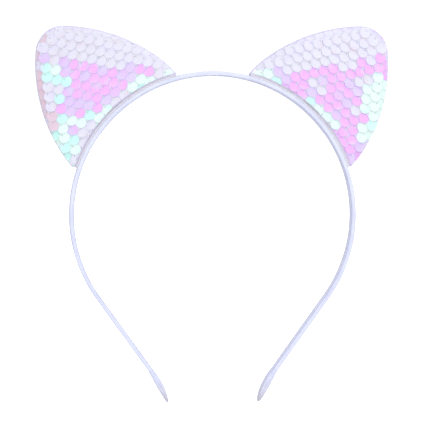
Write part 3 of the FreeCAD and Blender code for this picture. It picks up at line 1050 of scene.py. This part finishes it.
def film_phase(side, u, v, draw):
    """Colour of a disc's film: broad zones across each ear, in patches, with a draw of its own; the
    near-white tops paint the reflection of the overhead light and the left ear's rosy outer edge paints
    shade.
    """
    x, _, z = ear_to_world(side, u, 0.0, v)
    x, z = float(x), float(z)
    left = side < 0
    spread = draw.gauss(0, FILM_SPREAD)
    patch = 0.5 + 0.8 * noise.noise(Vector((x * FILM_PATCH, z * FILM_PATCH, 3.0 * side)))
    pick = min(max(0.55 * patch + 0.45 * draw.random() + draw.gauss(0, 0.05), 0.0), 1.0)
    near_band = float(height_over_band(x, z)) < NEAR_BAND
    band_zone = left or RIGHT_BAND_Z[0] < z < RIGHT_BAND_Z[1] or x < RIGHT_BAND_X
    outer = abs(x) > OUTER_X + draw.gauss(0, 1.0) or (x < OUTER_LOW_X and z < OUTER_LOW_Z)
    in_patch = RIGHT_PATCH_X[0] < x < RIGHT_PATCH_X[1] and RIGHT_PATCH_Z[0] < z < RIGHT_PATCH_Z[1]
    # painted shade: rosy film along the left ear's outer edge, which faces away from the light
    if left and u > 0 and half_width(v) - abs(u) < SHADED_EDGE_WIDTH and z > SHADED_EDGE_ABOVE:
        mix = SHADED_EDGE_MIX
    # painted reflection: discs high on the ear get near-white pearl film, standing for the overhead light
    # reflected by the top of the dome
    elif left and z > LEFT_REFLECTION_ABOVE - LEFT_REFLECTION_SLOPE * (x + LEFT_REFLECTION_X) + draw.gauss(0, 1.2):
        mix = TOP_REFLECTION_MIX
    elif not left and in_patch:
        mix = PATCH_MIX
    elif not left and z > RIGHT_REFLECTION_ABOVE + draw.gauss(0, 1.2):
        mix = TOP_REFLECTION_MIX
    elif near_band and band_zone:
        mix = BAND_MIX
    elif left and z < LEFT_MINT_BELOW:
        mix = MINT_MIX
    elif outer:
        mix = LEFT_OUTER_MIX if left else RIGHT_OUTER_MIX
    else:
        mix = PINK_MIX
    return chosen(pick, mix) + spread


def disc_outline(rim_share):
    """Ring of points at a share between the hole (0) and the rim (1), hinge at the origin."""
    angle = np.linspace(0, 2 * math.pi, RIM_POINTS, endpoint=False)
    rim = np.c_[SEQUIN_RADIUS * np.sin(angle), -SEQUIN_DROP + SEQUIN_RADIUS * np.cos(angle)]
    hole = np.c_[HOLE_RADIUS * np.sin(angle), -HOLE_DROP + HOLE_RADIUS * np.cos(angle)]
    return hole + (rim - hole) * rim_share


def disc_points():
    """One disc's rings: front from hole to rim, then reverse from rim to hole; (a, b, c), rim, front."""
    rings, rim, front = [], [], []
    for is_front, shares in ((1.0, DISC_SHARES), (0.0, DISC_SHARES[::-1])):
        for share in shares:
            ring = disc_outline(share)
            distance = np.hypot(ring[:, 0], ring[:, 1] + SEQUIN_DROP) / SEQUIN_RADIUS
            cup = SEQUIN_CUP * distance ** 2
            bevel = SEQUIN_BEVEL if share in (0.0, 1.0) else 1.0
            height = cup + (SEQUIN_THICKNESS / 2 * bevel) * (1 if is_front else -1)
            rings.append(np.c_[ring, height])
            rim.append(distance)
            front.append(np.full(RIM_POINTS, is_front))
    return np.vstack(rings), np.concatenate(rim), np.concatenate(front)


def disc_faces():
    """Faces between one disc's rings, and the wall of its hole from the last ring to the first."""
    rings = 2 * len(DISC_SHARES)
    last = (rings - 1) * RIM_POINTS
    around = [(j, (j + 1) % RIM_POINTS) for j in range(RIM_POINTS)]
    return grid_faces(rings, RIM_POINTS, closed=True) + [(last + j, last + k, k, j) for j, k in around]


DISC = disc_points()
DISC_FACES = disc_faces()
TRIM_LINE = ear_edge_points(EDGE_INSET, steps=300)


def trim_to_ear(u, v):
    """Moves points that fall outside the ear's outline, or on the band, back to the border."""
    u, v = np.array(u, float), np.array(v, float)
    line_u = np.interp(v, TRIM_LINE[::-1, 1], TRIM_LINE[::-1, 0], right=0.0)
    outside = (np.abs(u) > line_u) | (v > TRIM_LINE[0, 1])
    aside = np.abs(u[outside])[:, None] - TRIM_LINE[:, 0]
    above = v[outside][:, None] - TRIM_LINE[:, 1]
    nearest = TRIM_LINE[np.argmin(aside ** 2 + above ** 2, axis=1)]
    u[outside] = np.sign(u[outside]) * nearest[:, 0]
    v[outside] = nearest[:, 1]
    x, _, z = ear_to_world(1, u, 0.0, v)
    short = np.maximum(BAND_CLEARANCE - height_over_band(x, z), 0.0)
    away = np.arctan2(x, z) - EAR_LEAN
    return u + short * np.sin(away), v + short * np.cos(away)


def place_disc(side, row, place, step, caught, draw):
    """World vertices of one disc at this place of a row; one the seam has caught lies flat on the cloth."""
    angle, hinge_y, hinge_v = row_frame(row, CAUGHT_RISE if caught else HINGE_RISE)
    points = DISC[0]
    swing, lift, twist = (math.radians(draw.gauss(0, spread)) for spread in SEQUIN_SPREAD)
    lift += SEQUIN_TILT
    if caught:
        lift, twist, step = CAUGHT_TILT, 0.0, step * CAUGHT_STEP
    cos, sin = math.cos(swing), math.sin(swing)
    a = points[:, 0] * cos - (points[:, 1] + HOLE_DROP) * sin
    b = points[:, 0] * sin + (points[:, 1] + HOLE_DROP) * cos - HOLE_DROP
    c = points[:, 2] + a * math.tan(twist) + step
    y, v = on_row(angle + lift, hinge_y, hinge_v, b, c)
    u, v = trim_to_ear(place + a, v)
    sink = CAUGHT_FOLLOW * roll_off(u, v) if caught else FOLLOW * roll_off(place, hinge_v)
    return np.c_[ear_to_world(side, u, y + sink, v)]


def hangs_free(place, hinge_v):
    """True where a disc's thread loop sits inside the ear, clear of the seam and the band."""
    inside = abs(place) < half_width(hinge_v) - LOOP_INSET
    return bool(inside and over_band(place, hinge_v) > LOOP_BAND_GAP)


def shows(place, centre_v):
    """True where enough of a disc shows inside the ear's seam and above the band."""
    if centre_v > EAR_HEIGHT + SHOW_PAST_TIP or over_band(place, centre_v) < -SHOW_UNDER_BAND:
        return False
    return abs(place) < half_width(min(centre_v, EAR_HEIGHT - SHOW_BELOW_TIP)) + SHOW_PAST_SIDE


class DiscHeap:
    """Gathers discs into one mesh."""

    def __init__(self):
        self.vertices, self.faces, self.phase, self.rim, self.front = [], [], [], [], []

    def add(self, side, row, place, step, caught, draw):
        _, _, hinge_v = row_frame(row)
        start = sum(len(block) for block in self.vertices)
        self.vertices.append(place_disc(side, row, place, step, caught, draw))
        self.faces += [tuple(index + start for index in face[::side]) for face in DISC_FACES]
        base = film_phase(side, place, hinge_v - SEQUIN_DROP, draw)
        aside, down = (draw.gauss(0, spread) for spread in FILM_SLOPES)
        slope = DISC[0][:, 0] * aside + (DISC[0][:, 1] + SEQUIN_DROP) * down
        self.phase.append(base + slope)
        self.rim.append(DISC[1])
        self.front.append(DISC[2])

    def piece(self, name, body):
        attributes = {"phase": np.concatenate(self.phase), "rim": np.concatenate(self.rim),
                      "front": np.concatenate(self.front)}
        made = make_mesh(name, np.vstack(self.vertices), self.faces, MATERIALS["sequin"], attributes)
        drop_slivers(made.data)
        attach(made, body)
        return made


def drop_slivers(mesh):
    """Removes the faces that trimming has folded down to a line."""
    work = bmesh.new()
    work.from_mesh(mesh)
    bmesh.ops.remove_doubles(work, verts=work.verts, dist=SLIVER * MM)
    bmesh.ops.dissolve_degenerate(work, edges=work.edges, dist=SLIVER * MM)
    work.to_mesh(mesh)
    work.free()


def build_sequins(side_name):
    """One piece per row of flip discs, and one of the discs whose edge the seam has caught."""
    side = SIDES[side_name]
    draw = random.Random(SEEDS[side_name])
    count = sum(name.startswith(side_name + "_sequin_row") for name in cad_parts)
    loops = {}
    caught = DiscHeap()
    for row in range(0, count + 2):
        _, _, hinge_v = row_frame(row)
        shift = SEQUIN_PITCH / 2 if row % 2 == 0 else 0.0
        hanging = DiscHeap()
        for index in range(-ROW_REACH, ROW_REACH):
            place = shift + index * SEQUIN_PITCH
            step = SEQUIN_STEP if index % 2 else -SEQUIN_STEP
            if not shows(place, hinge_v - SEQUIN_DROP):
                continue
            if 1 <= row <= count and hangs_free(place, hinge_v):
                loops.setdefault(row, []).append(place)
                hanging.add(side, row, place, step, False, draw)
            else:
                caught.add(side, row, place, step, True, draw)
        if hanging.faces:
            name = f"{side_name}_sequin_row_{row:02d}"
            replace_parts(hanging.piece(name + "_discs", name), name)
    caught.piece(side_name + "_seam_discs", "crown")
    build_threads(side_name, loops)


class ThreadHeap:
    """Gathers round threads into one mesh."""

    def __init__(self):
        self.vertices, self.faces, self.along, self.across = [], [], [], []

    def add(self, path, radius, closed):
        start, count = len(self.vertices), len(path)
        path = np.array(path)
        tangent = np.roll(path, -1, axis=0) - np.roll(path, 1, axis=0)
        if not closed:
            tangent[0], tangent[-1] = path[1] - path[0], path[-1] - path[-2]
        for point, direction, run in zip(path, tangent, run_lengths_3d(path)):
            direction = direction / np.linalg.norm(direction)
            aside = np.cross(direction, ACROSS_THREAD)
            aside /= np.linalg.norm(aside)
            other = np.cross(direction, aside)
            for corner in range(THREAD_SIDES):
                angle = 2 * math.pi * corner / THREAD_SIDES
                self.vertices.append(point + radius * (aside * math.cos(angle) + other * math.sin(angle)))
                self.along.append(run)
                self.across.append(angle * radius)
        for i in range(count if closed else count - 1):
            low, high = start + i * THREAD_SIDES, start + (i + 1) % count * THREAD_SIDES
            for j in range(THREAD_SIDES):
                k = (j + 1) % THREAD_SIDES
                self.faces.append((low + j, low + k, high + k, high + j))


def run_lengths_3d(path):
    """Length along a line of points in space up to each of them."""
    return np.r_[0.0, np.cumsum(np.linalg.norm(np.diff(path, axis=0), axis=1))]


def loop_path(side, row, place):
    """A flattened ring through a disc's hole and round its upper rim."""
    angle, hinge_y, hinge_v = row_frame(row)
    path = []
    for turn in np.arange(LOOP_TURNS) * 2 * math.pi / LOOP_TURNS:
        b = LOOP_LENGTH * math.cos(turn) + LOOP_LENGTH - HOLE_DROP
        y, v = on_row(angle, hinge_y, hinge_v, b, LOOP_RISE * math.sin(turn))
        y += FOLLOW * float(roll_off(place, hinge_v))
        path.append(ear_to_world(side, place + LOOP_LEAN * math.sin(turn), y, v))
    return path


def run_path(side, row, group):
    """The thread that runs under a row between the loops of one half of the ear."""
    angle, hinge_y, hinge_v = row_frame(row)
    path = []
    for u in np.arange(min(group) - RUN_STEP, max(group) + RUN_PAST, RUN_STEP):
        y, v = on_row(angle, hinge_y, hinge_v, 0.0, -RUN_DROP)
        path.append(ear_to_world(side, u, y + FOLLOW * float(roll_off(u, hinge_v)), v))
    return path


def build_threads(side_name, loops):
    """A thread loop through every hole, and the running thread that joins each row."""
    side = SIDES[side_name]
    heap = ThreadHeap()
    for row, places in loops.items():
        for place in places:
            heap.add(loop_path(side, row, place), LOOP_RADIUS, True)
    for row, places in loops.items():
        for group in ([p for p in places if p < 0], [p for p in places if p >= 0]):
            if group:
                heap.add(run_path(side, row, group), RUN_RADIUS, False)
    piece = make_mesh(side_name + "_threads", heap.vertices, heap.faces, MATERIALS["thread"],
                      {"along": heap.along, "across": heap.across})
    rides(piece, "crown", side_name + "_sequin_threads")


# ---- stage

def direction_to(azimuth, height):
    """Direction from the object for two angles in radians; azimuth 0 looks at its front."""
    aside, ahead, flat = math.sin(azimuth), -math.cos(azimuth), math.cos(height)
    return Vector((aside * flat, ahead * flat, math.sin(height)))


def build_light(name, azimuth, elevation, distance, size, power):
    """A round lamp that faces the object."""
    data = bpy.data.lights.new(name, "AREA")
    data.shape = "DISK"
    data.size = size
    data.energy = power
    lamp = bpy.data.objects.new(name, data)
    bpy.context.scene.collection.objects.link(lamp)
    lamp.location = distance * direction_to(math.radians(azimuth), math.radians(elevation))
    lamp.rotation_euler = (-lamp.location).to_track_quat("-Z", "Y").to_euler()


def build_floor():
    """White floor just under the tips."""
    s = Shader("floor")
    speck = s.noise(s.scaled_position(), 40.0, 2.0)
    colour = s.ramp(speck, ((0.3, (0.78, 0.78, 0.78, 1)), (0.7, (0.82, 0.82, 0.82, 1))))
    seen = s.node("LightPath").outputs["Is Camera Ray"]
    s.set(Base_Color=colour, Roughness=0.9, Specular_IOR_Level=0.0,
          Emission_Color=(1, 1, 1, 1), Emission_Strength=s.times(seen, FLOOR_GLOW))
    low, half = CAD_BOX[0][2] / MM - FLOOR_GAP, FLOOR_HALF
    corners = [(-half, -half, low), (half, -half, low), (half, half, low), (-half, half, low)]
    make_mesh("floor", corners, [(0, 1, 2, 3)], s.material, smooth=False)


def build_world():
    """White surroundings, brighter to the camera than they light the object."""
    world = bpy.data.worlds.new("studio")
    bpy.context.scene.world = world
    world.use_nodes = True
    nodes, links = world.node_tree.nodes, world.node_tree.links
    background = nodes["Background"]
    path = nodes.new("ShaderNodeLightPath")
    strength = nodes.new("ShaderNodeMapRange")
    strength.inputs["To Min"].default_value = WORLD_LIGHT
    strength.inputs["To Max"].default_value = WORLD_SEEN
    links.new(path.outputs["Is Camera Ray"], strength.inputs["Value"])
    links.new(strength.outputs["Result"], background.inputs["Strength"])
    background.inputs["Color"].default_value = (1.0, 1.0, 1.0, 1.0)


def build_camera():
    """Camera in front of the object, a little to the viewer's left and above."""
    scene = bpy.context.scene
    data = bpy.data.cameras.new("camera")
    data.sensor_width = SENSOR_WIDTH
    data.lens = data.sensor_width * CAMERA_DISTANCE / (FIELD_MM * MM)
    camera = bpy.data.objects.new("camera", data)
    scene.collection.objects.link(camera)
    direction = direction_to(CAMERA_AZIMUTH, CAMERA_HEIGHT)
    camera.location = Vector(FOCUS) * MM + direction * CAMERA_DISTANCE
    camera.rotation_euler = (-direction).to_track_quat("-Z", "Y").to_euler()
    scene.camera = camera
    scene.view_settings.view_transform = "Standard"


for side_name in SIDES:
    build_satin(side_name)
    build_core(side_name)
    build_lining(side_name)
    build_tip_fold(side_name)
    build_ear_body(side_name)
    build_piping(side_name)
    build_strip(side_name, "_base_tape", "_base_tape", "base_tape", *TAPE_SECTION)
    build_strip(side_name, "_glue", "_glue_bead", "glue", *GLUE_SECTION)
    build_sequins(side_name)
build_floor()
build_world()
for light_name, settings in LIGHTS.items():
    build_light(light_name, *settings)
build_camera()
